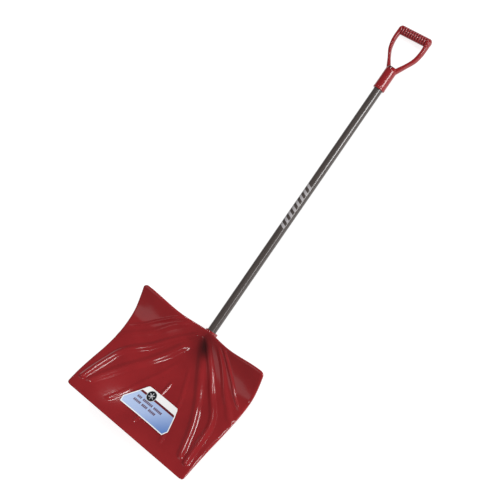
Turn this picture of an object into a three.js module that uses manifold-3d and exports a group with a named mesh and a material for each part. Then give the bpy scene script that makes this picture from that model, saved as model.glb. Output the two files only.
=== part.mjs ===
// A snow shovel with a moulded plastic blade, a steel shaft and a plastic D-grip.
// It lies on its back with the face of the blade up. Millimetres, +Z up, grip towards +Y.

import * as THREE from 'three';
import { mergeVertices } from 'three/addons/utils/BufferGeometryUtils.js';
import Module from 'manifold-3d';

// Driving dimensions.
const bladeLength = 340;
const bladeWidth = 455;
const overallLength = 1332;
const shaftDiameter = 25.4;
const shaftWall = 1.2;
const wallThickness = 3;
const fitGap = 0.3;

// The shaft's axis lies at this height, so that the blade's heel and the grip's collar rest on z = 0.
const axisHeight = 17.25;

// Stations run along the shaft from the top edge of the blade: 0 there, minus towards the cutting
// edge and plus towards the grip. Heights in the outlines are measured from the shaft's axis.
const stationShift = bladeLength - overallLength / 2;
const gripEnd = overallLength - bladeLength;

const shaftRadius = shaftDiameter / 2;
const boreRadius = shaftRadius + fitGap;

// Height of the blade's face along its side edge and along its middle, as [station, height].
const sideProfile = [
  [-340, 103], [-300, 91.5], [-255, 73.5], [-200, 47.8], [-150, 30.8], [-105, 25.2],
  [-75, 27.6], [-40, 40.5], [0, 61], [12, 68],
];
const middleProfile = [
  [-340, 103], [-295, 68.5], [-250, 43.5], [-205, 29.5], [-178, 21], [-130, 16],
  [-90, 16], [-40, 16], [-8, 18.5], [10, 22],
];

// Raised ribs on the right half of the face, which the left half mirrors. A path is
// [station, distance from the middle]. The half widths, heights and fading lengths go from its lower
// to its upper end.
const ribs = [
  {
    path: [[-312, 0], [-168, 0]],
    width: [7.3, 7.3],
    height: [2.8, 2.8],
    fade: [10, 14],
  },
  {
    path: [[-312, 105], [-205, 60.5], [-165, 40.5], [-100, 11]],
    width: [10, 10],
    height: [1.6, 1.3],
    fade: [10, 40],
  },
  {
    path: [[-308, 184.5], [-222, 137.5], [-172, 101.5], [-120, 63], [-45, 16]],
    width: [15.2, 20],
    height: [4.8, 5.8],
    fade: [12, 36],
  },
  {
    path: [[-312, 205.5], [-240, 191], [-182, 172], [-127, 116.5], [-87, 80.5], [-36, 28], [-14, 5]],
    width: [15, 13],
    height: [6.7, 5.1],
    fade: [12, 16],
  },
  {
    path: [[-170, 225], [-133, 185.5], [-106, 150.5], [-52, 99.5], [-12, 53]],
    width: [16.6, 8.5],
    height: [2.8, 4],
    fade: [20, 24],
  },
  {
    path: [[-125, 222.5], [-94, 176.5], [-68, 148.5], [-33, 106.5], [-8, 72.5]],
    width: [6, 6.6],
    height: [2.7, 3.8],
    fade: [20, 20],
  },
];

const wasm = await Module();
wasm.setup();

// ---------- Curves and shapes ----------

function mix(a, b, t) {
  return a + (b - a) * t;
}

function smoothstep(low, high, value) {
  const t = Math.min(Math.max((value - low) / (high - low), 0), 1);
  return t * t * (3 - 2 * t);
}

// A smooth curve through [station, value] points, level beyond its ends.
function curveValue(points, station) {
  const last = points.length - 1;
  const at = Math.min(Math.max(station, points[0][0]), points[last][0]);
  let k = 0;
  while (k < last - 1 && at > points[k + 1][0]) k += 1;
  const slope = (i) => {
    const before = points[Math.max(i - 1, 0)];
    const after = points[Math.min(i + 1, last)];
    return (after[1] - before[1]) / (after[0] - before[0]);
  };
  const span = points[k + 1][0] - points[k][0];
  const t = (at - points[k][0]) / span;
  const rise = t * t * (3 - 2 * t);
  const leave = t * (1 - t) * (1 - t) * span * slope(k);
  const arrive = t * t * (t - 1) * span * slope(k + 1);
  return mix(points[k][1], points[k + 1][1], rise) + leave + arrive;
}

// Half the blade's width, with its slight waist and its rounded corners.
function halfWidth(station) {
  const waist = 2;
  const topCorner = 10;
  const lipCorner = 8;
  const straight = bladeWidth / 2 - waist + waist * Math.cos(2 * Math.PI * (station + 35) / 300);
  const cornerCut = (radius, fromEdge) => {
    const inside = Math.max(radius - Math.max(fromEdge, 0), 0);
    return radius - Math.sqrt(radius * radius - inside * inside);
  };
  return straight - cornerCut(topCorner, -station) - cornerCut(lipCorner, station + bladeLength);
}

// Station of the top edge: highest at the corners and over the socket, and lowest in between.
function topEdge(x) {
  const dip = -8;
  const dipPlace = 90;
  const socketTop = -3;
  const away = Math.abs(x);
  if (away < dipPlace) return mix(socketTop, dip, smoothstep(0, dipPlace, away));
  return mix(dip, 0, smoothstep(dipPlace, 210, away));
}

// The face without its ribs: level across at the lip, and a funnel towards the socket at the top.
function baseHeight(x, station) {
  const side = curveValue(sideProfile, station);
  const middle = curveValue(middleProfile, station);
  const across = Math.min(Math.abs(x) / (bladeWidth / 2), 1);
  const sharpness = 1.1 + 1.5 * smoothstep(0, bladeLength / 2, -station);
  return mix(middle, side, Math.pow(Math.sin(across * Math.PI / 2), sharpness));
}

function ribPlace(rib, station) {
  const centre = curveValue(rib.path, station);
  const slope = curveValue(rib.path, station + 1) - centre;
  const low = rib.path[0][0];
  const high = rib.path[rib.path.length - 1][0];
  const along = Math.min(Math.max((station - low) / (high - low), 0), 1);
  const half = mix(rib.width[0], rib.width[1], along);
  return { centre, slant: Math.hypot(1, slope), half, low, high, along };
}

function ribHeight(rib, x, station) {
  const place = ribPlace(rib, station);
  const away = Math.abs(Math.abs(x) - place.centre) / place.slant;
  const crown = 1 - smoothstep(0.04, 1, away / place.half);
  const rising = smoothstep(0, rib.fade[0], station - place.low);
  const ending = smoothstep(0, rib.fade[1], place.high - station);
  return mix(rib.height[0], rib.height[1], place.along) * crown * rising * ending;
}

function faceHeight(x, station) {
  return baseHeight(x, station) + Math.max(...ribs.map((rib) => ribHeight(rib, x, station)));
}

// The direction from the back of the shell to its face: the normal of the face without its ribs,
// turning upright at the cutting edge, which is cut square.
function wallDirection(x, station) {
  const step = 1;
  const upright = smoothstep(12, 0, station + bladeLength);
  const acrossSlope = (baseHeight(x + step, station) - baseHeight(x - step, station)) / (2 * step);
  const alongSlope = (baseHeight(x, station + step) - baseHeight(x, station - step)) / (2 * step);
  const normal = new THREE.Vector3(-acrossSlope, -alongSlope, 1).normalize();
  return normal.lerp(new THREE.Vector3(0, 0, 1), upright);
}

function placed(x, station, height) {
  return new THREE.Vector3(x, station + stationShift, height + axisHeight);
}

// ---------- Solids ----------

function toSolid(geometry) {
  const bare = geometry.clone();
  bare.deleteAttribute('normal');
  bare.deleteAttribute('uv');
  const merged = mergeVertices(bare, 1e-4);
  const mesh = new wasm.Mesh({
    numProp: 3,
    vertProperties: new Float32Array(merged.attributes.position.array),
    triVerts: new Uint32Array(merged.index.array),
  });
  return new wasm.Manifold(mesh);
}

function toGeometry(solid) {
  const mesh = solid.getMesh();
  const geometry = new THREE.BufferGeometry();
  geometry.setAttribute('position', new THREE.BufferAttribute(mesh.vertProperties, 3));
  geometry.setIndex(new THREE.BufferAttribute(mesh.triVerts, 1));
  geometry.computeVertexNormals();
  return geometry;
}

// A closed sheet between an upper and a lower grid of points, with walls around its border.
// Rows run towards -Y and columns towards +X.
function sheetBetween(upper, lower) {
  const rows = upper.length;
  const columns = upper[0].length;
  const points = [...upper.flat(), ...lower.flat()];
  const index = [];
  const top = (r, c) => r * columns + c;
  const under = (r, c) => rows * columns + r * columns + c;
  const quad = (a, b, c, d) => index.push(a, b, c, a, c, d);
  for (let r = 0; r < rows - 1; r += 1) {
    for (let c = 0; c < columns - 1; c += 1) {
      quad(top(r + 1, c), top(r + 1, c + 1), top(r, c + 1), top(r, c));
      quad(under(r, c), under(r, c + 1), under(r + 1, c + 1), under(r + 1, c));
    }
    quad(top(r, 0), under(r, 0), under(r + 1, 0), top(r + 1, 0));
    quad(top(r + 1, columns - 1), under(r + 1, columns - 1), under(r, columns - 1), top(r, columns - 1));
  }
  for (let c = 0; c < columns - 1; c += 1) {
    quad(top(0, c + 1), under(0, c + 1), under(0, c), top(0, c));
    quad(top(rows - 1, c), under(rows - 1, c), under(rows - 1, c + 1), top(rows - 1, c + 1));
  }
  const geometry = new THREE.BufferGeometry().setFromPoints(points);
  geometry.setIndex(index);
  return geometry;
}

// A turned solid: the profile is [radius, distance along the axis], and the axis points along +Y.
function turned(profile, segments) {
  return new THREE.LatheGeometry(profile.map(([r, y]) => new THREE.Vector2(r, y)), segments);
}

// A closed skin over rings of points, with a flat fan over each end.
function loft(rings) {
  const around = rings[0].length;
  const end = (rings.length - 1) * around;
  const index = [];
  for (let start = 0; start < end; start += around) {
    for (let k = 0; k < around; k += 1) {
      const here = start + k;
      const beside = start + (k + 1) % around;
      index.push(here, beside, beside + around, here, beside + around, here + around);
    }
  }
  for (let k = 1; k < around - 1; k += 1) {
    index.push(0, k + 1, k);
    index.push(end, end + k, end + k + 1);
  }
  const geometry = new THREE.BufferGeometry().setFromPoints(rings.flat());
  geometry.setIndex(index);
  return geometry;
}

function cylinderAlongShaft(radius, fromStation, toStation, segments) {
  const length = toStation - fromStation;
  const cylinder = new THREE.CylinderGeometry(radius, radius, length, segments);
  const middle = placed(0, (fromStation + toStation) / 2, 0);
  return cylinder.rotateY(Math.PI / segments).translate(middle.x, middle.y, middle.z);
}

// ---------- Blade ----------

// Distances from the middle, closest first, that put grid columns on the feet, flanks and crests of the ribs.
function bladeColumns(station) {
  const edge = halfWidth(station);
  const closest = 1.7;
  const onFlank = 0.5;
  const sideBands = [14, 6, 0];
  const wanted = [ribs[0].width[0] * onFlank, ribs[0].width[0]];
  for (const rib of ribs.slice(1)) {
    const place = ribPlace(rib, station);
    for (const part of [-1, -onFlank, 0, onFlank, 1]) {
      wanted.push(place.centre + part * place.half * place.slant);
    }
  }
  for (const band of sideBands) wanted.push(edge - band);
  wanted.sort((a, b) => a - b);
  for (let k = 0; k < wanted.length; k += 1) {
    wanted[k] = Math.max(wanted[k], k === 0 ? closest : wanted[k - 1] + closest);
  }
  wanted[wanted.length - 1] = edge;
  for (let k = wanted.length - 2; k >= 0; k -= 1) {
    wanted[k] = Math.min(wanted[k], wanted[k + 1] - closest);
  }
  return [...wanted.map((x) => -x).reverse(), 0, ...wanted];
}

function bladeRows() {
  const rowCount = 25;
  const fineRows = [0.0035, 0.012, 0.022];
  const even = Array.from({ length: rowCount - 1 }, (_, k) => (k + 1) / rowCount);
  return [0, ...fineRows, ...even, ...fineRows.map((v) => 1 - v).reverse(), 1];
}

// The shell is thicker in a bead along its top and side edges, and thinner at the cutting edge.
function shellThickness(x, station) {
  const bead = 1.8;
  const beadWidth = 7;
  const fromSide = halfWidth(station) - Math.abs(x);
  const fromTop = topEdge(x) - station;
  const nearLip = smoothstep(24, 0, station + bladeLength);
  const onBead = 1 - smoothstep(0, beadWidth, Math.min(fromSide, fromTop));
  return wallThickness + bead * onBead * (1 - nearLip) - 0.6 * nearLip;
}

// Rows of points on the face of the blade and on its back.
function bladeGrids() {
  const face = [];
  const back = [];
  for (const v of bladeRows()) {
    const columns = bladeColumns(-bladeLength * v).map((x) => [x, mix(topEdge(x), -bladeLength, v)]);
    const faceRow = columns.map(([x, station]) => placed(x, station, faceHeight(x, station)));
    const inward = columns.map(([x, station]) => (
      wallDirection(x, station).multiplyScalar(-shellThickness(x, station))));
    face.push(faceRow);
    back.push(faceRow.map((point, c) => point.clone().add(inward[c])));
  }
  return { face, back };
}

const socketMouth = 2;
const socketDepth = -95;
const socketTail = -128;
const heelHalfWidth = 16.9;

// Everything under the middle of the shell's wall, carried on past the top edge.
function spaceUnderBlade(face) {
  const intoWall = new THREE.Vector3(0, 0, -wallThickness / 2);
  const pastEdge = new THREE.Vector3(0, 12, 0);
  const roof = face.map((row) => row.map((point) => point.clone().add(intoWall)));
  roof.unshift(roof[0].map((point) => point.clone().add(pastEdge)));
  const floor = roof.map((row) => row.map((point) => new THREE.Vector3(point.x, point.y, -axisHeight)));
  return toSolid(sheetBetween(roof, floor));
}

// Socket seen along the shaft: straight sides and a flat heel with rounded corners.
function socketSection() {
  const corner = 9;
  const roof = 60;
  const section = new THREE.Shape();
  section.moveTo(-heelHalfWidth, roof);
  section.lineTo(-heelHalfWidth, corner - axisHeight);
  section.absarc(corner - heelHalfWidth, corner - axisHeight, corner, Math.PI, 1.5 * Math.PI, false);
  section.absarc(heelHalfWidth - corner, corner - axisHeight, corner, 1.5 * Math.PI, 2 * Math.PI, false);
  section.lineTo(heelHalfWidth, roof);
  section.closePath();
  const length = socketMouth - socketTail;
  const solid = new THREE.ExtrudeGeometry(section, { depth: length, bevelEnabled: false, curveSegments: 6 });
  const start = placed(0, socketMouth, 0);
  return toSolid(solid.rotateX(Math.PI / 2).translate(start.x, start.y, start.z));
}

// Socket seen from the side: a level heel that slopes up behind the end of the shaft.
function socketSide() {
  const roof = 60;
  const rampFoot = -84;
  const rampTop = 10;
  const outline = new THREE.Shape();
  outline.moveTo(socketMouth, roof);
  outline.lineTo(socketMouth, -axisHeight);
  outline.lineTo(rampFoot, -axisHeight);
  outline.quadraticCurveTo(rampFoot - 22, -axisHeight, socketTail, rampTop);
  outline.lineTo(socketTail, roof);
  outline.closePath();
  const width = 2 * heelHalfWidth + 4;
  const solid = new THREE.ExtrudeGeometry(outline, { depth: width, bevelEnabled: false, curveSegments: 8 });
  solid.applyMatrix4(new THREE.Matrix4().makeBasis(
    new THREE.Vector3(0, 1, 0), new THREE.Vector3(0, 0, 1), new THREE.Vector3(1, 0, 0)));
  const start = placed(-width / 2, 0, 0);
  return toSolid(solid.translate(start.x, start.y, start.z));
}

// ---------- Screws ----------

const screw = { headRadius: 4, headHeight: 1.9, shankRadius: 2, length: 11 };
const bladeScrewStation = -58;
const gripScrewStation = 836;

// Heights of the screw heads' tops, a little inside the heel and the grip's socket.
const gripSocketRadius = 16.7;
const bladeScrewSeat = -axisHeight + 0.3;
const gripScrewSeat = -gripSocketRadius + 0.1;

// Pan-head screw that enters from below, with its head's top at the origin and its shank along +Z.
function screwGeometry() {
  const { headRadius, headHeight, shankRadius, length } = screw;
  const thread = 0.35;
  const pitch = 1.6;
  const rounding = 0.7;
  const profile = [
    [0, 0], [headRadius - rounding, 0], [headRadius, rounding], [headRadius, headHeight],
    [shankRadius, headHeight],
  ];
  for (let y = headHeight + pitch; y < length - 2; y += pitch) {
    profile.push([shankRadius, y - pitch / 2], [shankRadius - thread, y]);
  }
  profile.push([shankRadius - thread, length - 2], [0, length]);
  return turned(profile, 16).rotateX(Math.PI / 2);
}

// The hole that a screw needs: a recess for its head, open downwards, and a clear way for its shank.
function screwHole(seat, station) {
  const openBelow = 4;
  const pastShank = 3;
  const recess = screw.headRadius + fitGap;
  const clear = screw.shankRadius + fitGap;
  const mouth = seat - openBelow;
  const headEnd = seat + screw.headHeight + fitGap;
  const shankEnd = seat + screw.length + pastShank;
  const profile = [
    [0, mouth], [recess, mouth], [recess, headEnd], [clear, headEnd], [clear, shankEnd], [0, shankEnd],
  ];
  const start = placed(0, station, 0);
  return toSolid(turned(profile, 16).rotateX(Math.PI / 2).translate(start.x, start.y, start.z));
}

function bladeGeometry() {
  const { face, back } = bladeGrids();
  const shell = toSolid(sheetBetween(face, back));
  const socket = socketSection().intersect(socketSide()).intersect(spaceUnderBlade(face));
  const bore = toSolid(cylinderAlongShaft(boreRadius, socketDepth, socketMouth + 20, 32));
  const hole = screwHole(bladeScrewSeat, bladeScrewStation);
  return toGeometry(shell.add(socket).subtract(bore).subtract(hole));
}

// ---------- Shaft ----------

const shaftStart = socketDepth + 2;
const gripStart = 803;
const gripBoreEnd = 870;
const shaftEnd = gripBoreEnd - 2;

function shaftGeometry() {
  const outside = toSolid(cylinderAlongShaft(shaftRadius, shaftStart, shaftEnd, 32));
  const inside = toSolid(cylinderAlongShaft(shaftRadius - shaftWall, shaftStart - 5, shaftEnd + 5, 32));
  const holes = screwHole(bladeScrewSeat, bladeScrewStation).add(screwHole(gripScrewSeat, gripScrewStation));
  return toGeometry(outside.subtract(inside).subtract(holes));
}

// ---------- D-grip ----------

const barHalfLength = 53.5;
const barDepth = 26.5;
const barThickness = 23;
const barStation = gripEnd - barDepth / 2;

// The hand bar: an oval turned body across the shaft, with finger grooves over its face and its back.
function gripBar() {
  const ridgeCount = 10;
  const ridgePitch = 8;
  const grooveDepth = 0.2;
  const endRound = 9;
  const endDisc = 0.4;
  const endSteps = 5;
  const shoulder = 3.5;
  const groovedHalf = ridgeCount * ridgePitch / 2;
  const cutAt = (along) => {
    const wave = Math.pow(0.5 + 0.5 * Math.cos(2 * Math.PI * along / ridgePitch), 1.2);
    return grooveDepth * wave * smoothstep(groovedHalf + shoulder, groovedHalf, Math.abs(along));
  };

  const end = [[0, barHalfLength]];
  for (let k = 0; k <= endSteps; k += 1) {
    const turn = (k / endSteps) * Math.PI / 2;
    end.push([mix(endDisc, 1, Math.sin(turn)), barHalfLength - endRound * (1 - Math.cos(turn))]);
  }
  const step = ridgePitch / 4;
  const profile = end.map(([radius, along]) => [radius, -along]);
  for (let along = -groovedHalf - step; along <= groovedHalf + step; along += step) profile.push([1, along]);
  profile.push(...end.reverse());

  const bar = turned(profile, 20);
  const position = bar.attributes.position;
  for (let k = 0; k < position.count; k += 1) {
    const z = position.getZ(k);
    const facingUp = Math.abs(z) / Math.max(Math.hypot(position.getX(k), z), 1e-9);
    position.setZ(k, z * (1 - cutAt(position.getY(k)) * smoothstep(0.15, 0.55, facingUp)));
  }
  bar.rotateZ(-Math.PI / 2).scale(1, barDepth / 2, barThickness / 2);
  const middle = placed(0, barStation, 0);
  return toSolid(bar.translate(middle.x, middle.y, middle.z));
}

// One of the two arms: a flat strap that leaves the socket and bows out to the end of the bar. Its
// section is a squared oval that leans a little, and it rises a little on its way.
function gripArm(side) {
  const halfDepth = 8;
  const lean = 0.08;
  const squareness = 0.7;
  const bow = 1.6;
  const ringCount = 24;
  const around = 16;
  const route = [
    [4, 850], [8, 861], [16.7, 876], [29.5, 896], [41.4, 917], [47, 938], [48.3, 957], [47, barStation],
  ];
  const halfThickness = [
    [850, 6.6], [876, 5.6], [896, 4.3], [917, 4.9], [938, 5.5], [957, 5.8], [972, 6.5],
  ];
  const points = route.map(([x, station]) => new THREE.Vector3(x, station, 0));
  const path = new THREE.CatmullRomCurve3(points, false, 'catmullrom');
  const squared = (value) => Math.sign(value) * Math.pow(Math.abs(value), squareness);
  const rings = [];
  for (let r = 0; r <= ringCount; r += 1) {
    const at = path.getPoint(r / ringCount);
    const heading = path.getTangent(r / ringCount);
    const half = curveValue(halfThickness, at.y);
    const lift = mix(-bow, bow, smoothstep(890, 960, at.y));
    rings.push(Array.from({ length: around }, (_, k) => {
      const turn = -side * (k / around) * 2 * Math.PI;
      const rise = halfDepth * squared(Math.sin(turn));
      const out = half * squared(Math.cos(turn)) - lean * rise;
      return placed(side * (at.x + heading.y * out), at.y - heading.x * out, rise + lift);
    }));
  }
  return toSolid(loft(rings));
}

function gripSocket() {
  const collarRadius = axisHeight;
  const crown = 877;
  const profile = [
    [0, gripStart], [collarRadius - 1, gripStart], [collarRadius, gripStart + 1],
    [collarRadius, gripStart + 6], [gripSocketRadius, gripStart + 8], [gripSocketRadius, crown - 12],
    [gripSocketRadius - 3, crown - 3], [0, crown],
  ];
  const body = turned(profile, 32).rotateY(Math.PI / 32);
  const middle = placed(0, 0, 0);
  return toSolid(body.translate(middle.x, middle.y, middle.z));
}

function gripGeometry() {
  const bore = toSolid(cylinderAlongShaft(boreRadius, gripStart - 10, gripBoreEnd, 32));
  const hole = screwHole(gripScrewSeat, gripScrewStation);
  const solid = gripSocket().add(gripArm(1)).add(gripArm(-1)).add(gripBar()).subtract(bore).subtract(hole);
  return toGeometry(solid);
}

// ---------- Label ----------

// A thin label that bridges the crests of the ribs. It is narrower towards the shaft, its upper
// corners are rounded and its lower ones are chamfered.
const label = { top: -215, bottom: -290, thickness: 0.6, lift: 3.5, rounding: 5, chamfer: 15 };
const labelLeft = [-41, -88];
const labelRight = [70.5, 106.5];

function labelInset(station) {
  const inside = Math.max(label.rounding - (label.top - station), 0);
  const rounded = label.rounding - Math.sqrt(label.rounding * label.rounding - inside * inside);
  return rounded + Math.max(label.chamfer - (station - label.bottom), 0);
}

function labelGeometry() {
  const rowCount = 12;
  const columnCount = 10;
  const upper = [];
  const lower = [];
  for (let r = 0; r <= rowCount; r += 1) {
    const v = 0.5 - 0.5 * Math.cos(Math.PI * r / rowCount);
    const station = mix(label.top, label.bottom, v);
    const left = mix(labelLeft[0], labelLeft[1], v) + labelInset(station);
    const right = mix(labelRight[0], labelRight[1], v) - labelInset(station);
    const face = [];
    const back = [];
    for (let c = 0; c <= columnCount; c += 1) {
      const x = mix(left, right, c / columnCount);
      const crest = baseHeight(x, station) + label.lift;
      back.push(placed(x, station, crest));
      face.push(placed(x, station, crest + label.thickness));
    }
    upper.push(face);
    lower.push(back);
  }
  return sheetBetween(upper, lower);
}

// ---------- Assembly ----------

const redPlastic = new THREE.MeshStandardMaterial({ color: 0x8b2125, roughness: 0.3, metalness: 0 });
const greyPaint = new THREE.MeshStandardMaterial({ color: 0x4e4846, roughness: 0.35, metalness: 0.4 });
const labelFilm = new THREE.MeshStandardMaterial({ color: 0xdfe6ee, roughness: 0.4, metalness: 0 });
const zincSteel = new THREE.MeshStandardMaterial({ color: 0x9a9c9f, roughness: 0.4, metalness: 0.9 });

function named(name, geometry, material) {
  const mesh = new THREE.Mesh(geometry, material);
  mesh.name = name;
  return mesh;
}

function screwAt(name, seat, station) {
  const mesh = named(name, screwGeometry(), zincSteel);
  mesh.position.copy(placed(0, station, seat));
  return mesh;
}

const shovel = new THREE.Group();
shovel.add(named('blade', bladeGeometry(), redPlastic));
shovel.add(named('shaft', shaftGeometry(), greyPaint));
shovel.add(named('d_grip', gripGeometry(), redPlastic));
shovel.add(named('blade_label', labelGeometry(), labelFilm));
shovel.add(screwAt('blade_screw', bladeScrewSeat, bladeScrewStation));
shovel.add(screwAt('grip_screw', gripScrewSeat, gripScrewStation));

export default shovel;
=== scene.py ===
import math

import bpy
import numpy as np
from mathutils import Matrix, Vector


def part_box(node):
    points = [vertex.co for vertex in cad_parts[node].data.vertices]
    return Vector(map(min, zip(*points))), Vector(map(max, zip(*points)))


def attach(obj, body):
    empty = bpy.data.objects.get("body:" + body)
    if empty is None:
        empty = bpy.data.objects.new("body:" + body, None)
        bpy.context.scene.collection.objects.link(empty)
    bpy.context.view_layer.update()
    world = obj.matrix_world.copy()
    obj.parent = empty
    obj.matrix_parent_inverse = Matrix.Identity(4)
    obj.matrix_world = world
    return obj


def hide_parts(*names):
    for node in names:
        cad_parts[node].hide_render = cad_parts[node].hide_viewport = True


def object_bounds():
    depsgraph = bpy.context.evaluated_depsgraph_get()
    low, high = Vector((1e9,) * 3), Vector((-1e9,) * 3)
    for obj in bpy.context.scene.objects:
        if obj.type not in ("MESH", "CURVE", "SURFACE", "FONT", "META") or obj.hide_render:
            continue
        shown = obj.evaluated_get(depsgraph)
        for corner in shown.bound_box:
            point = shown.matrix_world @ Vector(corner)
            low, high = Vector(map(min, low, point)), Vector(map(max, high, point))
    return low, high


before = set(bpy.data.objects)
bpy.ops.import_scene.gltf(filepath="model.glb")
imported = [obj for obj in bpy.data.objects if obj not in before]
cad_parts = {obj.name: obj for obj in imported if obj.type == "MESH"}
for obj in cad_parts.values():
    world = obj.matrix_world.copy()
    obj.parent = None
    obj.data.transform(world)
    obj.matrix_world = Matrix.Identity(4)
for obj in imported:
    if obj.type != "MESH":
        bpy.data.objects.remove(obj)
cad_low, cad_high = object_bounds()

# Lengths below are in millimetres, heights are measured from the shaft's axis, and stations run
# along the shaft from the blade's top edge: minus towards the cutting edge, plus towards the grip.
MM = 0.001
BLADE_LENGTH = 340.0
BLADE_WIDTH = 455.0
SHAFT_RADIUS = 12.7
SHAFT_WALL = 1.2
WALL = 3.0
EDGE_ROLL, EDGE_ROLL_DROP = 6.0, 1.6
EDGE_BEAD, EDGE_BEAD_EXTRA = 7.0, 1.8
LIP_THINNING = 0.6
RIB_FLAT_TOP = 0.04
FINGER_RIB_PITCH = 8.0
AXIS_HEIGHT = 17.25
STATION_SHIFT = cad_low.y / MM + BLADE_LENGTH
GRIP_END = cad_high.y / MM - STATION_SHIFT

# Height of the blade's face along its side edge and along its middle, as (station, height).
SIDE_PROFILE = [
    (-340, 103), (-300, 91.5), (-255, 73.5), (-200, 47.8), (-150, 30.8), (-105, 25.2),
    (-75, 27.6), (-40, 40.5), (0, 61), (12, 68),
]
MIDDLE_PROFILE = [
    (-340, 103), (-295, 68.5), (-250, 43.5), (-205, 29.5), (-178, 21), (-130, 16),
    (-90, 16), (-40, 16), (-8, 18.5), (10, 22),
]

# Raised ribs on the right half, mirrored on the left: path as (station, distance from the middle),
# then half width, height and fading length, each at the lower and at the upper end.
RIBS = [
    ([(-312, 0), (-168, 0)], (7.3, 7.3), (2.8, 2.8), (10, 14)),
    ([(-312, 105), (-205, 60.5), (-165, 40.5), (-100, 11)], (10, 10), (1.6, 1.3), (10, 40)),
    ([(-308, 184.5), (-222, 137.5), (-172, 101.5), (-120, 63), (-45, 16)],
     (15.2, 20), (4.8, 5.8), (12, 36)),
    ([(-312, 205.5), (-240, 191), (-182, 172), (-127, 116.5), (-87, 80.5), (-36, 28), (-14, 5)],
     (15, 13), (6.7, 5.1), (12, 16)),
    ([(-170, 225), (-133, 185.5), (-106, 150.5), (-52, 99.5), (-12, 53)],
     (16.6, 8.5), (2.8, 4), (20, 24)),
    ([(-125, 222.5), (-94, 176.5), (-68, 148.5), (-33, 106.5), (-8, 72.5)],
     (6, 6.6), (2.7, 3.8), (20, 20)),
]


# ---------- Curves ----------

def mix(a, b, t):
    """From a at t = 0 to b at t = 1."""
    return a + (b - a) * t


def smoothstep(low, high, value):
    """Zero at low and one at high, level beyond them. Low may be the larger of the two."""
    t = np.clip((value - low) / (high - low), 0, 1)
    return t * t * (3 - 2 * t)


def curve_value(points, station):
    """A smooth curve through (station, value) points, level beyond its ends."""
    places = np.array([p[0] for p in points], float)
    values = np.array([p[1] for p in points], float)
    slopes = np.empty_like(values)
    slopes[1:-1] = (values[2:] - values[:-2]) / (places[2:] - places[:-2])
    slopes[0] = (values[1] - values[0]) / (places[1] - places[0])
    slopes[-1] = (values[-1] - values[-2]) / (places[-1] - places[-2])
    at = np.clip(station, places[0], places[-1])
    k = np.clip(np.searchsorted(places, at, side="right") - 1, 0, len(places) - 2)
    span = places[k + 1] - places[k]
    t = (at - places[k]) / span
    rise = t * t * (3 - 2 * t)
    leave = t * (1 - t) ** 2 * span * slopes[k]
    arrive = t * t * (t - 1) * span * slopes[k + 1]
    return mix(values[k], values[k + 1], rise) + leave + arrive


# ---------- The blade's surface ----------

def half_width(station):
    """Half the blade's width, with its slight waist and its rounded corners."""
    waist, waist_place, waist_length = 2.0, -35, 300
    top_corner, lip_corner = 10.0, 8.0

    def corner_cut(radius, from_edge):
        inside = np.clip(radius - np.maximum(from_edge, 0), 0, radius)
        return radius - np.sqrt(radius ** 2 - inside ** 2)

    swell = np.cos(2 * np.pi * (station - waist_place) / waist_length)
    straight = BLADE_WIDTH / 2 - waist + waist * swell
    top_cut = corner_cut(top_corner, -station)
    return straight - top_cut - corner_cut(lip_corner, station + BLADE_LENGTH)


def top_edge(x):
    """Station of the top edge: highest at the corners and over the socket, lowest in between."""
    dip, dip_place, corner_place, socket_top = -8.0, 90.0, 210, -3.0
    away = np.abs(x)
    inner = mix(socket_top, dip, smoothstep(0, dip_place, away))
    outer = mix(dip, 0.0, smoothstep(dip_place, corner_place, away))
    return np.where(away < dip_place, inner, outer)


def base_height(x, station):
    """The face without its ribs: level across at the lip, and a funnel to the socket at the top."""
    side = curve_value(SIDE_PROFILE, station)
    middle = curve_value(MIDDLE_PROFILE, station)
    across = np.minimum(np.abs(x) / (BLADE_WIDTH / 2), 1)
    top_sharpness, more_below = 1.1, 1.5
    sharpness = top_sharpness + more_below * smoothstep(0, BLADE_LENGTH / 2, -station)
    return mix(middle, side, np.sin(across * np.pi / 2) ** sharpness)


def rib_height(rib, x, station):
    """How far one pair of ribs stands above the face, with a round crown and fading ends."""
    path, width, height, fade = rib
    low, high = path[0][0], path[-1][0]
    centre = curve_value(path, station)
    slope = curve_value(path, station + 0.5) - curve_value(path, station - 0.5)
    along = np.clip((station - low) / (high - low), 0, 1)
    away = np.abs(np.abs(x) - centre) / np.hypot(1, slope)
    crown = 1 - smoothstep(RIB_FLAT_TOP, 1, away / mix(width[0], width[1], along))
    ends = smoothstep(0, fade[0], station - low) * smoothstep(0, fade[1], high - station)
    return mix(height[0], height[1], along) * crown * ends


def edge_distance(x, station):
    """Distance in from the side edges or the top edge, whichever is closer."""
    return np.minimum(half_width(station) - np.abs(x), top_edge(x) - station)


def face_height(x, station):
    """The face with its ribs. Where two ribs meet, the higher one counts."""
    ribs = np.max([rib_height(rib, x, station) for rib in RIBS], axis=0)
    roll = 1 - np.clip(edge_distance(x, station) / EDGE_ROLL, 0, 1)
    return base_height(x, station) + ribs - EDGE_ROLL_DROP * roll ** 2


def wall_direction(x, station):
    """From the back of the shell to its face. It turns upright at the square cutting edge."""
    across = base_height(x + 0.5, station) - base_height(x - 0.5, station)
    along = base_height(x, station + 0.5) - base_height(x, station - 0.5)
    normal = np.stack([-across, -along, np.ones_like(across)], axis=-1)
    normal /= np.linalg.norm(normal, axis=-1, keepdims=True)
    square_part = 12
    upright = smoothstep(square_part, 0, station + BLADE_LENGTH)[..., None]
    return mix(normal, np.array([0.0, 0.0, 1.0]), upright)


def shell_thickness(x, station):
    """Thicker in a bead along the top and side edges, and thinner at the cutting edge."""
    thinned_part = 24
    near_lip = smoothstep(thinned_part, 0, station + BLADE_LENGTH)
    on_bead = 1 - smoothstep(0, EDGE_BEAD, edge_distance(x, station))
    return WALL + EDGE_BEAD_EXTRA * on_bead * (1 - near_lip) - LIP_THINNING * near_lip


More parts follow.
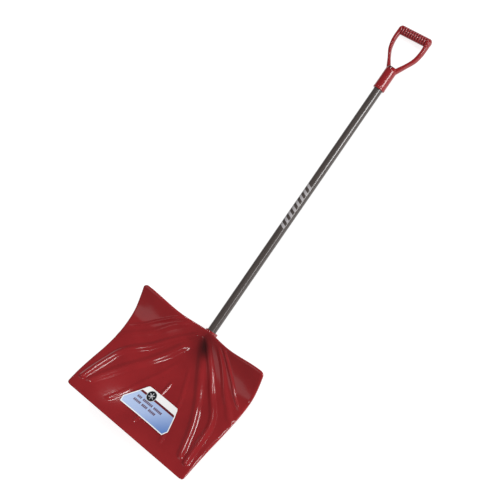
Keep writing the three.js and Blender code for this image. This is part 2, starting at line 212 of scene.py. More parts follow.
def placed(x, station, height):
    """A point, or an array of them, in metres in the row's frame."""
    x, station, height = np.broadcast_arrays(x, station, height)
    return np.stack([x, station + STATION_SHIFT, height + AXIS_HEIGHT], axis=-1) * MM


# ---------- Meshes ----------

def add_mesh(name, points, faces, material, slot, *nodes):
    """A smooth piece of the object made from points in metres, riding on the row's only body."""
    mesh = bpy.data.meshes.new(name)
    mesh.from_pydata([tuple(p) for p in points], [], faces)
    mesh.validate()
    mesh.update()
    mesh.polygons.foreach_set("use_smooth", [True] * len(mesh.polygons))
    piece = bpy.data.objects.new(name, mesh)
    bpy.context.scene.collection.objects.link(piece)
    mesh.materials.append(material)
    declare(piece, slot, *nodes)
    return piece


def declare(piece, slot, *nodes):
    """Says which body a piece rides on and hides the CAD nodes it replaces. Its slot is not used.
    """
    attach(piece, "root")
    if nodes:
        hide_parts(*nodes)


def ring_faces(ring_count, ring_size, closed_rings=False):
    """Quads between consecutive rings of points, each ring closed on itself."""
    faces = []
    for r in range(ring_count if closed_rings else ring_count - 1):
        here, there = r * ring_size, ((r + 1) % ring_count) * ring_size
        for k in range(ring_size):
            n = (k + 1) % ring_size
            faces.append((here + k, here + n, there + n, there + k))
    return faces


def sheet(face, back):
    """Points and faces of the face and the back of a sheet, and the index of the face's border."""
    rows, columns = face.shape[:2]
    under = rows * columns
    index = np.arange(under).reshape(rows, columns)
    a, b, c, d = index[1:, :-1], index[1:, 1:], index[:-1, 1:], index[:-1, :-1]
    faces = np.stack([a, b, c, d], axis=-1).reshape(-1, 4).tolist()
    faces += (np.stack([d, c, b, a], axis=-1).reshape(-1, 4) + under).tolist()
    return [face.reshape(-1, 3), back.reshape(-1, 3)], faces, border(index)


def border(grid):
    """What lies round the edge of a grid, in order, starting along its first row."""
    return np.concatenate([grid[0, :-1], grid[:-1, -1], grid[-1, :0:-1], grid[:0:-1, 0]])


def band_faces(upper, lower):
    """Quads between two closed loops of points."""
    next_upper, next_lower = np.roll(upper, -1), np.roll(lower, -1)
    return np.stack([upper, next_upper, next_lower, lower], axis=-1).tolist()


def turned(profile, segments):
    """Points and faces of a (radius, along) profile turned about Y, closed on the axis."""
    angles = np.arange(segments) * 2 * np.pi / segments
    points = [(0.0, profile[0][1], 0.0)]
    for radius, along in profile[1:-1]:
        points += [(radius * math.cos(a), along, radius * math.sin(a)) for a in angles]
    points.append((0.0, profile[-1][1], 0.0))
    last = len(points) - 1
    faces = [(0, 1 + (k + 1) % segments, 1 + k) for k in range(segments)]
    for face in ring_faces(len(profile) - 2, segments):
        faces.append(tuple(i + 1 for i in face))
    end = last - segments
    faces += [(last, end + k, end + (k + 1) % segments) for k in range(segments)]
    return np.array(points), faces


# ---------- Materials ----------

def new_material(name):
    """A material with a shader that is still plain, and what is needed to build on it."""
    material = bpy.data.materials.new(name)
    material.use_nodes = True
    nodes, links = material.node_tree.nodes, material.node_tree.links
    return material, nodes, links, nodes["Principled BSDF"]


def noise(nodes, links, scale, detail=3.0, stretch=(1, 1, 1)):
    """A noise in the object's own frame, and its output socket."""
    place = nodes.new("ShaderNodeTexCoord")
    mapping = nodes.new("ShaderNodeMapping")
    mapping.inputs["Scale"].default_value = stretch
    texture = nodes.new("ShaderNodeTexNoise")
    texture.inputs["Scale"].default_value = scale
    texture.inputs["Detail"].default_value = detail
    links.new(place.outputs["Object"], mapping.inputs["Vector"])
    links.new(mapping.outputs["Vector"], texture.inputs["Vector"])
    return texture.outputs["Fac"]


def ramp(nodes, links, source, stops):
    """Turns a value into a colour that runs through (place, colour) stops."""
    node = nodes.new("ShaderNodeValToRGB")
    elements = node.color_ramp.elements
    while len(elements) < len(stops):
        elements.new(0.5)
    for element, (place, colour) in zip(elements, stops):
        element.position = place
        element.color = (*colour, 1.0)
    links.new(source, node.inputs["Fac"])
    return node.outputs["Color"]


def remap(nodes, links, source, low, high):
    """Turns a value from nought to one into one from low to high."""
    node = nodes.new("ShaderNodeMapRange")
    node.inputs["To Min"].default_value = low
    node.inputs["To Max"].default_value = high
    links.new(source, node.inputs["Value"])
    return node.outputs["Result"]


def bump(nodes, links, shader, source, strength, distance):
    """Fine roughness of the skin, in metres, too small for the mesh."""
    node = nodes.new("ShaderNodeBump")
    node.inputs["Strength"].default_value = strength
    node.inputs["Distance"].default_value = distance
    links.new(source, node.inputs["Height"])
    links.new(node.outputs["Normal"], shader.inputs["Normal"])


class Drawing:
    """Flat marks painted by arithmetic on a piece's own coordinates, in millimetres."""

    def __init__(self, nodes, links):
        self.nodes, self.links = nodes, links
        place = nodes.new("ShaderNodeTexCoord")
        split = nodes.new("ShaderNodeSeparateXYZ")
        links.new(place.outputs["Object"], split.inputs[0])
        self.x = self.math("MULTIPLY", split.outputs["X"], 1 / MM)
        length = self.math("MULTIPLY", split.outputs["Y"], 1 / MM)
        self.station = self.math("SUBTRACT", length, STATION_SHIFT)
        rise = self.math("MULTIPLY", split.outputs["Z"], 1 / MM)
        self.height = self.math("SUBTRACT", rise, AXIS_HEIGHT)

    def math(self, operation, *values):
        node = self.nodes.new("ShaderNodeMath")
        node.operation = operation
        for socket, value in zip(node.inputs, values):
            if isinstance(value, (int, float)):
                socket.default_value = value
            else:
                self.links.new(value, socket)
        return node.outputs[0]

    def between(self, value, low, high, soft=0.35):
        """One where the value lies between low and high, with edges as soft as ink."""
        rise = self.nodes.new("ShaderNodeMapRange")
        fall = self.nodes.new("ShaderNodeMapRange")
        for node, edge in ((rise, low), (fall, high)):
            node.interpolation_type = "SMOOTHSTEP"
            node.inputs["From Min"].default_value = edge - soft
            node.inputs["From Max"].default_value = edge + soft
            self.links.new(value, node.inputs["Value"])
        return self.math("MULTIPLY", rise.outputs[0], self.math("SUBTRACT", 1.0, fall.outputs[0]))

    def along(self, x_part, station_part, offset):
        """Distance along a slanting direction."""
        part = self.math("MULTIPLY", self.x, x_part)
        part = self.math("ADD", part, self.math("MULTIPLY", self.station, station_part))
        return self.math("ADD", part, offset)

    def near(self, x, station, way, half_length, half_breadth):
        """One at a place on the face, fading to nothing over an oval that points along way."""
        off_x = self.math("SUBTRACT", self.x, x)
        off_station = self.math("SUBTRACT", self.station, station)
        squares = []
        for (px, ps), reach in ((way, half_length), ((-way[1], way[0]), half_breadth)):
            part = self.math("MULTIPLY", off_x, px)
            part = self.math("ADD", part, self.math("MULTIPLY", off_station, ps))
            part = self.math("ABSOLUTE", self.math("DIVIDE", part, reach))
            squares.append(self.math("POWER", part, 2.0))
        fade = self.nodes.new("ShaderNodeMapRange")
        fade.interpolation_type = "SMOOTHSTEP"
        self.links.new(self.math("SQRT", self.math("ADD", *squares)), fade.inputs["Value"])
        return self.math("SUBTRACT", 1.0, fade.outputs[0])

    def paint(self, below, colour, mask):
        """A colour, or a socket's colour, laid over what is below it where the mask is one."""
        under, over = 6, 7
        node = self.nodes.new("ShaderNodeMix")
        node.data_type = "RGBA"
        self.links.new(mask, node.inputs["Factor"])
        if isinstance(colour, tuple):
            node.inputs[over].default_value = (*colour, 1.0)
        else:
            self.links.new(colour, node.inputs[over])
        self.links.new(below, node.inputs[under])
        return node.outputs[2]


def red_plastic():
    """Glossy moulded polyethylene: slight clouding in its colour and a fine orange-peel skin.
    The throat, the hollow below the socket, the grip's crotch and the grooves between the finger
    ribs carry painted shade, and the finger ribs' crests carry a painted highlight."""
    material, nodes, links, shader = new_material("red_plastic")
    clouds = noise(nodes, links, 14.0)
    colour = ramp(nodes, links, clouds,
                  [(0.3, (0.246, 0.0125, 0.0155)), (0.7, (0.290, 0.0155, 0.0185))])
    marks = Drawing(nodes, links)
    above_back, below_corners = 14.2, 60
    on_face = marks.between(marks.height, above_back, below_corners)
    # Painted shade and shadow: the throat round the socket and the hollow below it are darkened in
    # the colour, where light falls short.
    throat_shade = marks.near(12, -44, (0.63, -0.77), 85, 62)
    hollow_shadow = marks.near(20, -44, (0.66, -0.75), 46, 30)
    # Painted shade in the grip's crotch.
    crotch_shade = marks.near(-2, 873, (1.0, 0.0), 15, 11)
    # Painted shade in the grooves between the finger ribs and a painted highlight on their crests.
    wave = marks.math("COSINE", marks.math("MULTIPLY", marks.x, 2 * math.pi / FINGER_RIB_PITCH))
    ribs_end, ribs_from, ribs_to = 41, 968, 990
    on_ribs = marks.math("MULTIPLY", marks.between(marks.x, -ribs_end, ribs_end),
                         marks.between(marks.station, ribs_from, ribs_to, 2.0))
    groove = marks.math("MULTIPLY", on_ribs, marks.math("MAXIMUM", wave, 0.0))
    wave = marks.math("MULTIPLY", wave, -1.0)
    crest = marks.math("MULTIPLY", on_ribs, marks.math("MAXIMUM", wave, 0.0))
    # Each mask lays painted shade over the plastic's colour, except on the crests, where it lays a
    # painted highlight.
    for mask, shade, amount in (
        (marks.math("MULTIPLY", on_face, throat_shade), (0.03, 0.002, 0.003), 0.5),
        (marks.math("MULTIPLY", on_face, hollow_shadow), (0.02, 0.003, 0.004), 0.8),
        (crotch_shade, (0.02, 0.001, 0.002), 0.9),
        (groove, (0.05, 0.003, 0.004), 0.85),
        (crest, (0.50, 0.12, 0.13), 0.4),
    ):
        colour = marks.paint(colour, shade, marks.math("MULTIPLY", mask, amount))
    links.new(colour, shader.inputs["Base Color"])
    haze = noise(nodes, links, 60.0, 4.0)
    links.new(remap(nodes, links, haze, 0.11, 0.15), shader.inputs["Roughness"])
    shader.inputs["IOR"].default_value = 1.5
    bump(nodes, links, shader, noise(nodes, links, 420.0, 2.0), 0.02, 0.0004)
    return material


def grey_paint():
    """Glossy paint on drawn tube, with slanting pale bars printed half way up the shaft."""
    material, nodes, links, shader = new_material("grey_paint")
    streaks = noise(nodes, links, 220.0, 3.0, (1, 0.06, 1))
    colour = ramp(nodes, links, streaks,
                  [(0.3, (0.056, 0.046, 0.042)), (0.7, (0.076, 0.062, 0.057))])
    marks = Drawing(nodes, links)
    first, last, pitch, bar, slant, half_breadth = 346, 490, 18, 9, 0.45, 9
    turn = marks.math("MULTIPLY", marks.math("ARCTAN2", marks.x, marks.height), SHAFT_RADIUS)
    shifted = marks.math("ADD", marks.station, marks.math("MULTIPLY", turn, slant))
    phase = marks.math("MODULO", marks.math("SUBTRACT", shifted, first), pitch)
    bars = marks.between(phase, 0.5, bar)
    for value, low, high in ((shifted, first, last), (turn, -half_breadth, half_breadth)):
        bars = marks.math("MULTIPLY", bars, marks.between(value, low, high))
    wear = remap(nodes, links, noise(nodes, links, 700.0, 4.0), 0.75, 1.0)
    worn = marks.math("MULTIPLY", bars, wear)
    links.new(marks.paint(colour, (0.43, 0.41, 0.42), worn), shader.inputs["Base Color"])
    links.new(remap(nodes, links, streaks, 0.14, 0.20), shader.inputs["Roughness"])
    shader.inputs["IOR"].default_value = 1.5
    bump(nodes, links, shader, noise(nodes, links, 500.0, 2.0), 0.05, 0.0003)
    return material


def zinc_steel():
    """Zinc plate, whose grain changes both its colour and its gloss."""
    material, nodes, links, shader = new_material("zinc_steel")
    grain = noise(nodes, links, 900.0, 4.0)
    colour = ramp(nodes, links, grain, [(0.3, (0.42, 0.43, 0.45)), (0.7, (0.58, 0.59, 0.60))])
    links.new(colour, shader.inputs["Base Color"])
    links.new(remap(nodes, links, grain, 0.25, 0.42), shader.inputs["Roughness"])
    shader.inputs["Metallic"].default_value = 1.0
    return material


def label_blocks(ink, colour):
    """Two rows of plain blocks in groups, where a label has its lines of words."""
    block_ink, block, gap, half_height = (0.11, 0.035, 0.065), 5.2, 5.0, 3.2
    for row, start, words in ((-252.5, -49, (3, 7, 6)), (-264.5, -51, (5, 4, 5))):
        line = ink.between(ink.station, row - half_height, row + half_height)
        for blocks in words:
            along = ink.math("SUBTRACT", ink.x, start)
            in_block = ink.between(ink.math("MODULO", along, block), 0.5, block - 0.5)
            in_word = ink.between(along, 0, blocks * block)
            mark = ink.math("MULTIPLY", line, ink.math("MULTIPLY", in_word, in_block))
            colour = ink.paint(colour, block_ink, ink.math("MULTIPLY", mark, 0.9))
            start += blocks * block + gap
    return colour


def label_badge(ink, colour):
    """A dark round badge with three crossed strokes, like a flake of snow."""
    x, station, size, rim, arm, half_stroke = -16.0, -233.0, 14.0, 1.6, 9.5, 0.9
    from_x = ink.math("SUBTRACT", ink.x, x)
    from_station = ink.math("SUBTRACT", ink.station, station)
    squares = [ink.math("MULTIPLY", part, part) for part in (from_x, from_station)]
    radius = ink.math("SQRT", ink.math("ADD", *squares))
    colour = ink.paint(colour, (0.55, 0.56, 0.56), ink.between(radius, -1, size + rim))
    colour = ink.paint(colour, (0.006, 0.006, 0.010), ink.between(radius, -1, size))
    for k in range(3):
        angle = math.radians(30 + 60 * k)
        off_arm = ink.math("ADD", ink.math("MULTIPLY", from_x, math.sin(angle)),
                           ink.math("MULTIPLY", from_station, math.cos(angle)))
        stroke = ink.math("MULTIPLY", ink.between(off_arm, -half_stroke, half_stroke),
                          ink.between(radius, -1, arm))
        colour = ink.paint(colour, (0.62, 0.64, 0.66), stroke)
    return colour


def label_print():
    """A coated paper label: white top, red stripe, blue panel, plain blocks and a flake badge."""
    material, nodes, links, shader = new_material("label_print")
    ink = Drawing(nodes, links)
    paper = ramp(nodes, links, noise(nodes, links, 900.0),
                 [(0.3, (0.90, 0.90, 0.90)), (0.7, (0.96, 0.96, 0.95))])
    fade_start, fade_end = -40, 95
    deeper = remap(nodes, links, ink.along(0.55, -0.8, -188), 0.0, 1.0)
    deeper.node.inputs["From Min"].default_value = fade_start
    deeper.node.inputs["From Max"].default_value = fade_end
    blue = ramp(nodes, links, deeper,
                [(0.15, (0.44, 0.56, 0.80)), (0.55, (0.40, 0.52, 0.80)), (1.0, (0.08, 0.20, 0.55))])
    panel_top, stripe_top, margin, beyond = -239.5, -233.5, 2.6, 500
    edge = nodes.new("ShaderNodeAttribute")
    edge.attribute_name = "from_edge"
    inside = ink.between(edge.outputs["Fac"], margin, beyond)
    panel = ink.math("MULTIPLY", inside, ink.between(ink.station, -beyond, panel_top))
    stripe = ink.math("MULTIPLY", inside, ink.between(ink.station, panel_top, stripe_top))
    colour = ink.paint(paper, blue, panel)
    colour = ink.paint(colour, (0.13, 0.008, 0.016), stripe)

    colour = label_badge(ink, label_blocks(ink, colour))
    links.new(colour, shader.inputs["Base Color"])
    coating = noise(nodes, links, 250.0)
    links.new(remap(nodes, links, coating, 0.28, 0.4), shader.inputs["Roughness"])
    bump(nodes, links, shader, noise(nodes, links, 600.0, 3.0), 0.05, 0.0002)
    return material


RED = red_plastic()
GREY = grey_paint()
ZINC = zinc_steel()
PRINT = label_print()


# ---------- Blade ----------

def blade_shell():
    """The thin shell: a face, a back, and a rounded edge between them, squarer at the lip."""
    columns, rows, edge_steps, evenness, roundness = 300, 230, 5, 0.75, 0.6
    across = np.linspace(-1, 1, columns)
    down = 0.5 - 0.5 * np.cos(np.linspace(0, np.pi, rows))
    down = mix(down, np.linspace(0, 1, rows), evenness)
    v = down[:, None]
    width = half_width(-BLADE_LENGTH * down)[:, None]
    x = across[None, :] * width
    station = mix(top_edge(x), -BLADE_LENGTH, v)
    face = placed(x, station, face_height(x, station))
    inward = wall_direction(x, station) * shell_thickness(x, station)[..., None] * MM
    back = face - inward
    points, faces, face_loop = sheet(face, back)
    middle = np.array([0.0, float(np.mean(station)) + STATION_SHIFT, 0.0]) * MM
    outward = border(face) - middle
    outward[:, 2] = 0
    border_down = border(np.broadcast_to(v, x.shape))
    at_top, at_lip = border_down < 0.001, border_down > 0.999
    outward[at_top] = (0, 1, 0)
    outward[at_lip] = (0, -1, 0)
    beside = ~(at_top | at_lip)
    outward[beside] = np.sign(outward[beside][:, :1]) * np.array([[1.0, 0, 0]])
    lip_bulge, edge_bulge = 0.25, 1.1
    bulge = np.where(at_lip, lip_bulge, edge_bulge)[:, None] * MM
    loops = [face_loop]
    start = 2 * rows * columns
    for k in range(1, edge_steps):
        t = k / edge_steps
        swell = math.sin(math.pi * t) ** roundness
        ring = mix(border(face), border(back), t) + outward * bulge * swell
        points.append(ring)
        loops.append(np.arange(len(ring)) + start)
        start += len(ring)
    loops.append(face_loop + rows * columns)
    for upper, lower in zip(loops[:-1], loops[1:]):
        faces += band_faces(upper, lower)
    add_mesh("blade_shell", np.concatenate(points), faces, RED, "red_plastic", "blade")


def stood_up(points, middle, seat):
    """Turned points with their axis stood up on a seat, in millimetres."""
    x, y, z = middle.x + points[:, 0], middle.y + points[:, 2], seat + points[:, 1]
    return np.stack([x, y, z], axis=-1)


def with_screw_hole(piece, node):
    """Meant to cut the recess for a screw's head, and the clear way for its shank, out of a piece.
    Known fault: no recess is cut. The cutter is inside out, so only outlines are marked."""
    low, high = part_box(node)
    middle = (low + high) / 2 / MM
    seat, recess, clear = low.z / MM, 4.3, 2.3
    bottom, ledge, top = -6, 2.2, 13.5
    profile = [(0, bottom), (recess, bottom), (recess, ledge),
               (clear, ledge), (clear, top), (0, top)]
    points, faces = turned(profile, 48)
    points = stood_up(points, middle, seat)
    mesh = bpy.data.meshes.new("hole")
    mesh.from_pydata([tuple(p) for p in points * MM], [], [face[::-1] for face in faces])
    cutter = bpy.data.objects.new("hole", mesh)
    bpy.context.scene.collection.objects.link(cutter)
    cut = piece.modifiers.new("hole", "BOOLEAN")
    cut.operation = "DIFFERENCE"
    cut.object = cutter
    graph = bpy.context.evaluated_depsgraph_get()
    drilled = bpy.data.meshes.new_from_object(piece.evaluated_get(graph))
    piece.modifiers.clear()
    piece.data = drilled
    bpy.data.objects.remove(cutter)


def blade_socket():
    """The socket under the blade. Its rings start at the bottom, and its roof lies in the wall."""
    mouth, tail, depth, ramp_foot = 2.0, -126.0, -95.0, -84.0
    half, corner, fillet, ring_size = 16.9, 9.0, 9.0, 120
    sunk, clearance, tail_rise, floor_gap = 1.5, 0.3, 13.0, 0.05
    below_edge, open_above = -9.0, -2.5
    bore = SHAFT_RADIUS + clearance

    def heel(station):
        climb = np.clip((ramp_foot - station) / (ramp_foot - tail), 0, 1)
        return -AXIS_HEIGHT + floor_gap + (AXIS_HEIGHT + tail_rise) * climb ** 1.6

    def section(station):
        """The right half of the outline, from under the axis round to above it."""
        floor = heel(station)
        inside = float(face_height(np.array(half), np.array(min(station, below_edge)))) - sunk
        curve = min(corner, max(0.45 * (inside - floor), 0.3))
        outline = [(x, floor) for x in np.linspace(0, half - curve, 6)]
        turn = np.linspace(-np.pi / 2, 0, 12)
        outline += [(half - curve + curve * math.cos(a), floor + curve + curve * math.sin(a))
                    for a in turn]
        if station > open_above:
            turn = np.linspace(0, np.pi / 2, 24)
            outline += [(half * math.cos(a), half * math.sin(a)) for a in turn]
            return outline
        spread = min(fillet, max(inside - floor - curve, 0.1))
        turn = np.linspace(0, np.pi / 2, 12)
        outline += [(half + spread * (1 - math.cos(a)), inside - spread + spread * math.sin(a))
                    for a in turn]
        roof = np.linspace(half + spread, 0, 24)
        lid = face_height(roof, np.full_like(roof, station)) - sunk
        return outline + list(zip(roof, lid))

    def ring(outline, station):
        points = np.array(outline + [(-x, h) for x, h in outline[-2:0:-1]])
        closed = np.vstack([points, points[:1]])
        length = np.concatenate([[0], np.cumsum(np.hypot(*np.diff(closed, axis=0).T))])
        even = np.arange(ring_size) / ring_size * length[-1]
        x, height = np.interp(even, length, closed[:, 0]), np.interp(even, length, closed[:, 1])
        return placed(x, station, height)

    turn = np.arange(ring_size) / ring_size * 2 * np.pi - np.pi / 2

    def bore_ring(station, radius):
        return placed(radius * np.cos(turn), station, radius * np.sin(turn))

    stations = [mouth - 0.6, -2.4, -2.8, *np.linspace(-6, ramp_foot, 22),
                *np.linspace(ramp_foot - 2, tail, 18)]
    first = ring(section(mouth), mouth)
    centre = first.mean(axis=0)
    rings = [bore_ring(depth, bore), bore_ring(mouth - 0.8, bore), bore_ring(mouth, bore + 0.8)]
    rings.append(mix(first, centre, 0.04))
    rings += [ring(section(station), station) for station in stations]
    points = np.concatenate(rings)
    faces = ring_faces(len(rings), ring_size)
    faces.append(tuple(range(ring_size))[::-1])
    last = (len(rings) - 1) * ring_size
    faces.append(tuple(range(last, last + ring_size)))
    piece = add_mesh("blade_socket", points, faces, RED, "red_plastic", "blade")
    with_screw_hole(piece, "blade_screw")


# ---------- Shaft ----------

def shaft_tube():
    """An open tube. The rings near its ends keep its shading straight between them.
    Known fault: its faces point inwards, and it isn't drilled for the screws."""
    low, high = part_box("shaft")
    segments, edge, near_end = 96, 0.4, 2
    start, end = low.y / MM, high.y / MM
    inner = SHAFT_RADIUS - SHAFT_WALL
    outline = [
        (SHAFT_RADIUS - edge, start), (SHAFT_RADIUS, start + edge),
        (SHAFT_RADIUS, start + near_end), (SHAFT_RADIUS, (start + end) / 2),
        (SHAFT_RADIUS, end - near_end), (SHAFT_RADIUS, end - edge),
        (SHAFT_RADIUS - edge, end), (inner, end), (inner, start),
    ]
    turn = np.arange(segments) * 2 * np.pi / segments
    circle_x, circle_z, along = np.cos(turn), np.sin(turn), np.ones(segments)
    rings = [np.stack([r * circle_x, y * along, r * circle_z + AXIS_HEIGHT], axis=-1)
             for r, y in outline]
    faces = ring_faces(len(rings), segments, closed_rings=True)
    add_mesh("shaft_tube", np.concatenate(rings) * MM, faces, GREY, "shaft_paint", "shaft")


# ---------- D-grip ----------

GRIP_START = 803.0
GRIP_SOCKET_RADIUS = 16.7
BAR_HALF_LENGTH, BAR_DEPTH, BAR_THICKNESS = 53.5, 26.5, 23.0


def spline(points, count):
    """A Catmull-Rom curve through the points, evenly sampled along its parameter."""
    points = np.array(points, float)
    padded = np.vstack([2 * points[0] - points[1], points, 2 * points[-1] - points[-2]])
    t = np.linspace(0, len(points) - 1 - 1e-9, count)
    k = t.astype(int)
    f = (t - k)[:, None]
    a, b, c, d = padded[k], padded[k + 1], padded[k + 2], padded[k + 3]
    square, cube = f ** 2, f ** 3
    bend = (2 * a - 5 * b + 4 * c - d) * square + (3 * b - a - 3 * c + d) * cube
    return 0.5 * (2 * b + (c - a) * f + bend)


def grip_arm(side):
    """A flat strap from the socket, bowed out to the end of the bar and leaning outwards below."""
    half_depth, lean, squareness, bow_height = 8.0, 0.08, 0.7, 1.6
    steps, around = 70, 40
    route = [(4, 850), (8, 861), (16.7, 876), (29.5, 896), (41.4, 917), (47, 938), (48.3, 957),
             (47, GRIP_END - BAR_DEPTH / 2)]
    half_thickness = [(850, 6.6), (876, 5.6), (896, 4.3), (917, 4.9), (938, 5.5), (957, 5.8),
                      (972, 6.5)]
    path = spline(route, steps)
    heading = np.gradient(path, axis=0)
    heading /= np.linalg.norm(heading, axis=1, keepdims=True)
    normal = np.stack([heading[:, 1], -heading[:, 0]], axis=1)
    turn = np.arange(around) * 2 * np.pi / around
    across = np.sign(np.cos(turn)) * np.abs(np.cos(turn)) ** squareness
    rise = half_depth * np.sign(np.sin(turn)) * np.abs(np.sin(turn)) ** squareness
    rings = []
    for (x, station), (nx, ns) in zip(path, normal):
        out = float(curve_value(half_thickness, station)) * across - lean * rise
        bow = mix(-bow_height, bow_height, float(smoothstep(890, 960, station)))
        rings.append(placed(side * (x + nx * out), station + ns * out, rise + bow))
    faces = ring_faces(steps, around)
    faces.append(tuple(range(around))[::-1])
    faces.append(tuple(range((steps - 1) * around, steps * around)))
    return np.concatenate(rings), faces


def grip_bar():
    """The hand bar: an oval turned body with finger ribs round it."""
    rib_count, rib_pitch, rib_depth = 10, FINGER_RIB_PITCH, 0.2
    end_round, end_size, ribs_fade = 9.0, 0.4, 3.5
    along = np.linspace(-BAR_HALF_LENGTH, BAR_HALF_LENGTH, 400)
    from_end = np.clip((BAR_HALF_LENGTH - np.abs(along)) / end_round, 0, 1)
    radius = mix(end_size, 1, np.sqrt(1 - (1 - from_end) ** 2))
    grooved_half = rib_count * rib_pitch / 2
    groove = (0.5 + 0.5 * np.cos(2 * np.pi * along / rib_pitch)) ** 1.2
    cut = rib_depth * groove * smoothstep(grooved_half + ribs_fade, grooved_half, np.abs(along))
    profile = [(0, -BAR_HALF_LENGTH), *zip(radius, along), (0, BAR_HALF_LENGTH)]
    points, faces = turned(profile, 72)
    x, station = points[:, 1], points[:, 0] * BAR_DEPTH / 2
    rise = points[:, 2] * BAR_THICKNESS / 2
    facing_up = np.abs(points[:, 2]) / np.maximum(np.hypot(points[:, 0], points[:, 2]), 1e-9)
    rise = rise * (1 - np.interp(x, along, cut) * smoothstep(0.15, 0.55, facing_up))
    return placed(x, GRIP_END - BAR_DEPTH / 2 + station, rise), faces


def grip_socket():
    """A blind sleeve over the end of the shaft, with a collar round its mouth."""
    collar, crown, bore, deep = AXIS_HEIGHT, 877.0, SHAFT_RADIUS + 0.55, 870.0
    profile = [
        (0, deep), (bore, deep), (bore, GRIP_START),
        (collar - 1.2, GRIP_START), (collar, GRIP_START + 1.2),
        (collar, GRIP_START + 6), (GRIP_SOCKET_RADIUS, GRIP_START + 7.5),
        (GRIP_SOCKET_RADIUS, crown - 12),
        (GRIP_SOCKET_RADIUS - 3, crown - 3), (0, crown),
    ]
    points, faces = turned(profile, 96)
    return placed(points[:, 0], points[:, 1], points[:, 2]), faces


def joined_and_smoothed(parts, voxel, smoothing):
    """One skin around overlapping closed parts, with its inner corners softened like a moulding."""
    points, faces, start = [], [], 0
    for part_points, part_faces in parts:
        points.append(part_points)
        faces += [tuple(i + start for i in face) for face in part_faces]
        start += len(part_points)
    mesh = bpy.data.meshes.new("raw")
    mesh.from_pydata([tuple(p) for p in np.concatenate(points)], [], faces)
    raw = bpy.data.objects.new("raw", mesh)
    bpy.context.scene.collection.objects.link(raw)
    remesh = raw.modifiers.new("skin", "REMESH")
    remesh.mode = "VOXEL"
    remesh.voxel_size = voxel * MM
    smooth = raw.modifiers.new("soften", "SMOOTH")
    smooth.factor = 0.5
    smooth.iterations = smoothing
    graph = bpy.context.evaluated_depsgraph_get()
    skin = bpy.data.meshes.new_from_object(raw.evaluated_get(graph))
    bpy.data.objects.remove(raw)
    return skin


def d_grip():
    """The whole grip as one moulding. The cut for its screw has the fault named above."""
    voxel, smoothing = 0.5, 12
    parts = [grip_socket(), grip_arm(1), grip_arm(-1), grip_bar()]
    skin = joined_and_smoothed(parts, voxel, smoothing)
    skin.polygons.foreach_set("use_smooth", [True] * len(skin.polygons))
    skin.materials.clear()
    skin.materials.append(RED)
    piece = bpy.data.objects.new("d_grip_moulding", skin)
    bpy.context.scene.collection.objects.link(piece)
    with_screw_hole(piece, "grip_screw")
    declare(piece, "red_plastic", "d_grip")


# ---------- Label ----------

LABEL_TOP, LABEL_BOTTOM = -215.0, -290.0
# Distances from the middle, each at the label's top and at its bottom.
LABEL_LEFT, LABEL_RIGHT = (-41.0, -88.0), (70.5, 106.5)
LABEL_CHAMFER = 15.0
LABEL_LIFT = 3.5


def label_inset(station):
    """How far the label's ends are cut in: rounded at the top, chamfered at the bottom."""
    rounding = 5.0
    inside = np.clip(rounding - (LABEL_TOP - station), 0, rounding)
    rounded = rounding - np.sqrt(rounding ** 2 - inside ** 2)
    return rounded + np.clip(LABEL_CHAMFER - (station - LABEL_BOTTOM), 0, LABEL_CHAMFER)


def blade_label():
    """A thin film over the ribs' crests. Each point knows how far it is from the film's edge."""
    rows, columns, thickness, side_slant = 90, 150, 0.6, 0.85
    v = (0.5 - 0.5 * np.cos(np.linspace(0, np.pi, rows)))[:, None]
    station = mix(LABEL_TOP, LABEL_BOTTOM, v)
    left = mix(LABEL_LEFT[0], LABEL_LEFT[1], v) + label_inset(station)
    right = mix(LABEL_RIGHT[0], LABEL_RIGHT[1], v) - label_inset(station)
    x = mix(left, right, np.linspace(0, 1, columns)[None, :])
    station = np.broadcast_to(station, x.shape)
    crest = base_height(x, station) + LABEL_LIFT
    points, faces, loop = sheet(placed(x, station, crest + thickness), placed(x, station, crest))
    faces += band_faces(loop, loop + rows * columns)
    points = np.concatenate(points)
    piece = add_mesh("blade_label_film", points, faces, PRINT, "label_film", "blade_label")
    from_side = np.minimum(x - left, right - x) * side_slant
    from_end = np.minimum(LABEL_TOP - station, station - LABEL_BOTTOM)
    from_edge = np.minimum(from_side, from_end).ravel()
    edge = piece.data.attributes.new("from_edge", "FLOAT", "POINT")
    edge.data.foreach_set("value", np.concatenate([from_edge, from_edge * 0]))


# ---------- Screws ----------

def screw(node):
    """A pan-head screw whose head faces down, in the place of a CAD screw.
    Known fault: its faces point inwards, and the uncut plastic hides its head or most of it."""
    low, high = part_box(node)
    middle = (low + high) / 2 / MM
    seat = low.z / MM
    head, head_height, shank, thread, pitch, point = 4.0, 1.9, 2.0, 0.35, 1.6, 2
    length = (high.z - low.z) / MM
    profile = [(0, 0.5), (1.6, 0.45), (2.6, 0.12), (head - 0.9, 0.02), (head - 0.3, 0.25),
               (head, 0.8), (head, 1.7), (head - 0.15, head_height), (shank, head_height)]
    rise = head_height
    while rise + pitch < length - point:
        profile += [(shank, rise + pitch / 2), (shank - thread, rise + pitch)]
        rise += pitch
    profile += [(shank - thread, length - point), (0, length)]
    points, faces = turned(profile, 40)
    points = stood_up(points, middle, seat)
    flipped = [face[::-1] for face in faces]
    add_mesh(node + "_turned", points * MM, flipped, ZINC, "screw_steel", node)


blade_shell()
blade_socket()
shaft_tube()
d_grip()
blade_label()
screw("blade_screw")
screw("grip_screw")


# ---------- Floor, light and camera ----------

BLADE_CENTRE = (0, -0.4, 0.05)


def stage_floor():
    """A pale floor that glows a little, so that it is white all round."""
    bpy.ops.mesh.primitive_plane_add(size=14, location=(0, 0, 0))
    floor = bpy.context.object
    floor.name = "floor"
    material, _, _, shader = new_material("floor_paint")
    shader.inputs["Base Color"].default_value = (0.4, 0.4, 0.4, 1)
    shader.inputs["Emission Color"].default_value = (1, 1, 1, 1)
    shader.inputs["Emission Strength"].default_value = 0.8
    shader.inputs["Roughness"].default_value = 0.9
    shader.inputs["Specular IOR Level"].default_value = 0.1
    floor.data.materials.append(material)


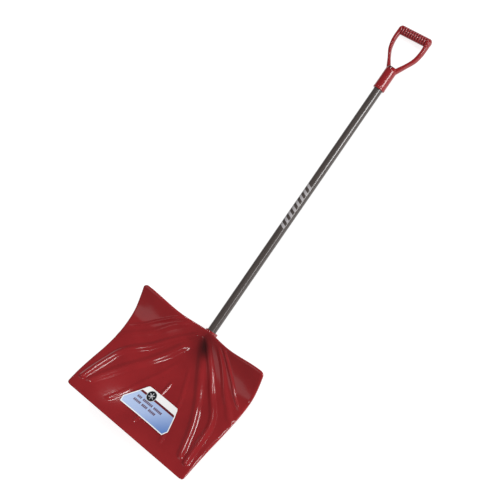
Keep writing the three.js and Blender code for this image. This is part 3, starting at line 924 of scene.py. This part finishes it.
def area_light(name, place, size, power):
    """A rectangular lamp that faces the blade."""
    lamp = bpy.data.lights.new(name, "AREA")
    lamp.shape = "RECTANGLE"
    lamp.size, lamp.size_y = size
    lamp.energy = power
    light = bpy.data.objects.new(name, lamp)
    light.location = place
    light.rotation_euler = (Vector(BLADE_CENTRE) - place).to_track_quat("-Z", "Y").to_euler()
    bpy.context.scene.collection.objects.link(light)
    return light


def seen_from(azimuth, elevation, distance):
    """A place at an angle round from +X and up from the floor, as seen from the blade."""
    turn, rise = math.radians(azimuth), math.radians(elevation)
    level = math.cos(rise)
    way = Vector((level * math.cos(turn), level * math.sin(turn), math.sin(rise)))
    return Vector(BLADE_CENTRE) + way * distance


def studio():
    """A dim tent of light, which the gloss hardly shows, with small lamps that draw the glints."""
    bpy.context.scene.view_settings.view_transform = "Standard"
    world = bpy.data.worlds.new("studio")
    bpy.context.scene.world = world
    world.use_nodes = True
    nodes, links = world.node_tree.nodes, world.node_tree.links
    path = nodes.new("ShaderNodeLightPath")
    strength, fill = None, 0.32
    for ray, level in (("Is Glossy Ray", 0.13), ("Is Camera Ray", 0.9)):
        switch = nodes.new("ShaderNodeMix")
        switch.inputs["A"].default_value = fill
        switch.inputs["B"].default_value = level
        links.new(path.outputs[ray], switch.inputs["Factor"])
        if strength:
            links.new(strength, switch.inputs["A"])
        strength = switch.outputs["Result"]
    links.new(strength, nodes["Background"].inputs["Strength"])
    nodes["Background"].inputs["Color"].default_value = (1, 1, 1, 1)
    far, near, nearest, small, soft = 12, 3.5, 3.0, (1.3, 1.3), (1.2, 1.2)
    for name, azimuth, elevation, size, power in (
        ("glint_left", 108, 41, small, 130),
        ("glint_high", 78, 56, small, 110),
        ("glint_middle", 60, 56, small, 90),
        ("glint_right", 42, 56, small, 120),
        ("glint_front", 290, 67, small, 100),
        ("side_strip", 15, 27, (2.4, 6.0), 560),
        ("low_panel", 4, 26, (3.4, 3.4), 220),
    ):
        area_light(name, seen_from(azimuth, elevation, far), size, power)
    area_light("soft_panel", seen_from(222, 46, nearest), soft, 3.0)
    for azimuth, elevation, power in ((96, 40, 3), (15, 35, 4)):
        key = area_light("soft_key", seen_from(azimuth, elevation, near), soft, power)
        key.visible_glossy = False


def main_camera():
    """Looks down on the shovel's face from its right, with the shaft parallel to the picture."""
    tilt = math.radians(28.8)
    turn = math.atan2(0.5676, 0.8234)
    distance, along, across = 3090.2, 243.8, -39.75
    focal_in_widths, sensor = 1131.9 / 500, 36
    side = Vector((math.cos(tilt), 0, -math.sin(tilt)))
    back = Vector((math.sin(tilt), 0, math.cos(tilt)))
    grip = Vector((0, 1, 0))
    right = side * math.cos(turn) + grip * math.sin(turn)
    up = grip * math.cos(turn) - side * math.sin(turn)
    crossing = Vector((0, STATION_SHIFT, AXIS_HEIGHT)) * MM
    camera = bpy.data.objects.new("camera", bpy.data.cameras.new("camera"))
    camera.data.sensor_width = sensor
    camera.data.lens = sensor * focal_in_widths
    place = crossing + (side * across + grip * along + back * distance) * MM
    turned_axes = Matrix((right, up, back)).transposed()
    camera.matrix_world = Matrix.Translation(place) @ turned_axes.to_4x4()
    bpy.context.scene.collection.objects.link(camera)
    bpy.context.scene.camera = camera


stage_floor()
studio()
main_camera()
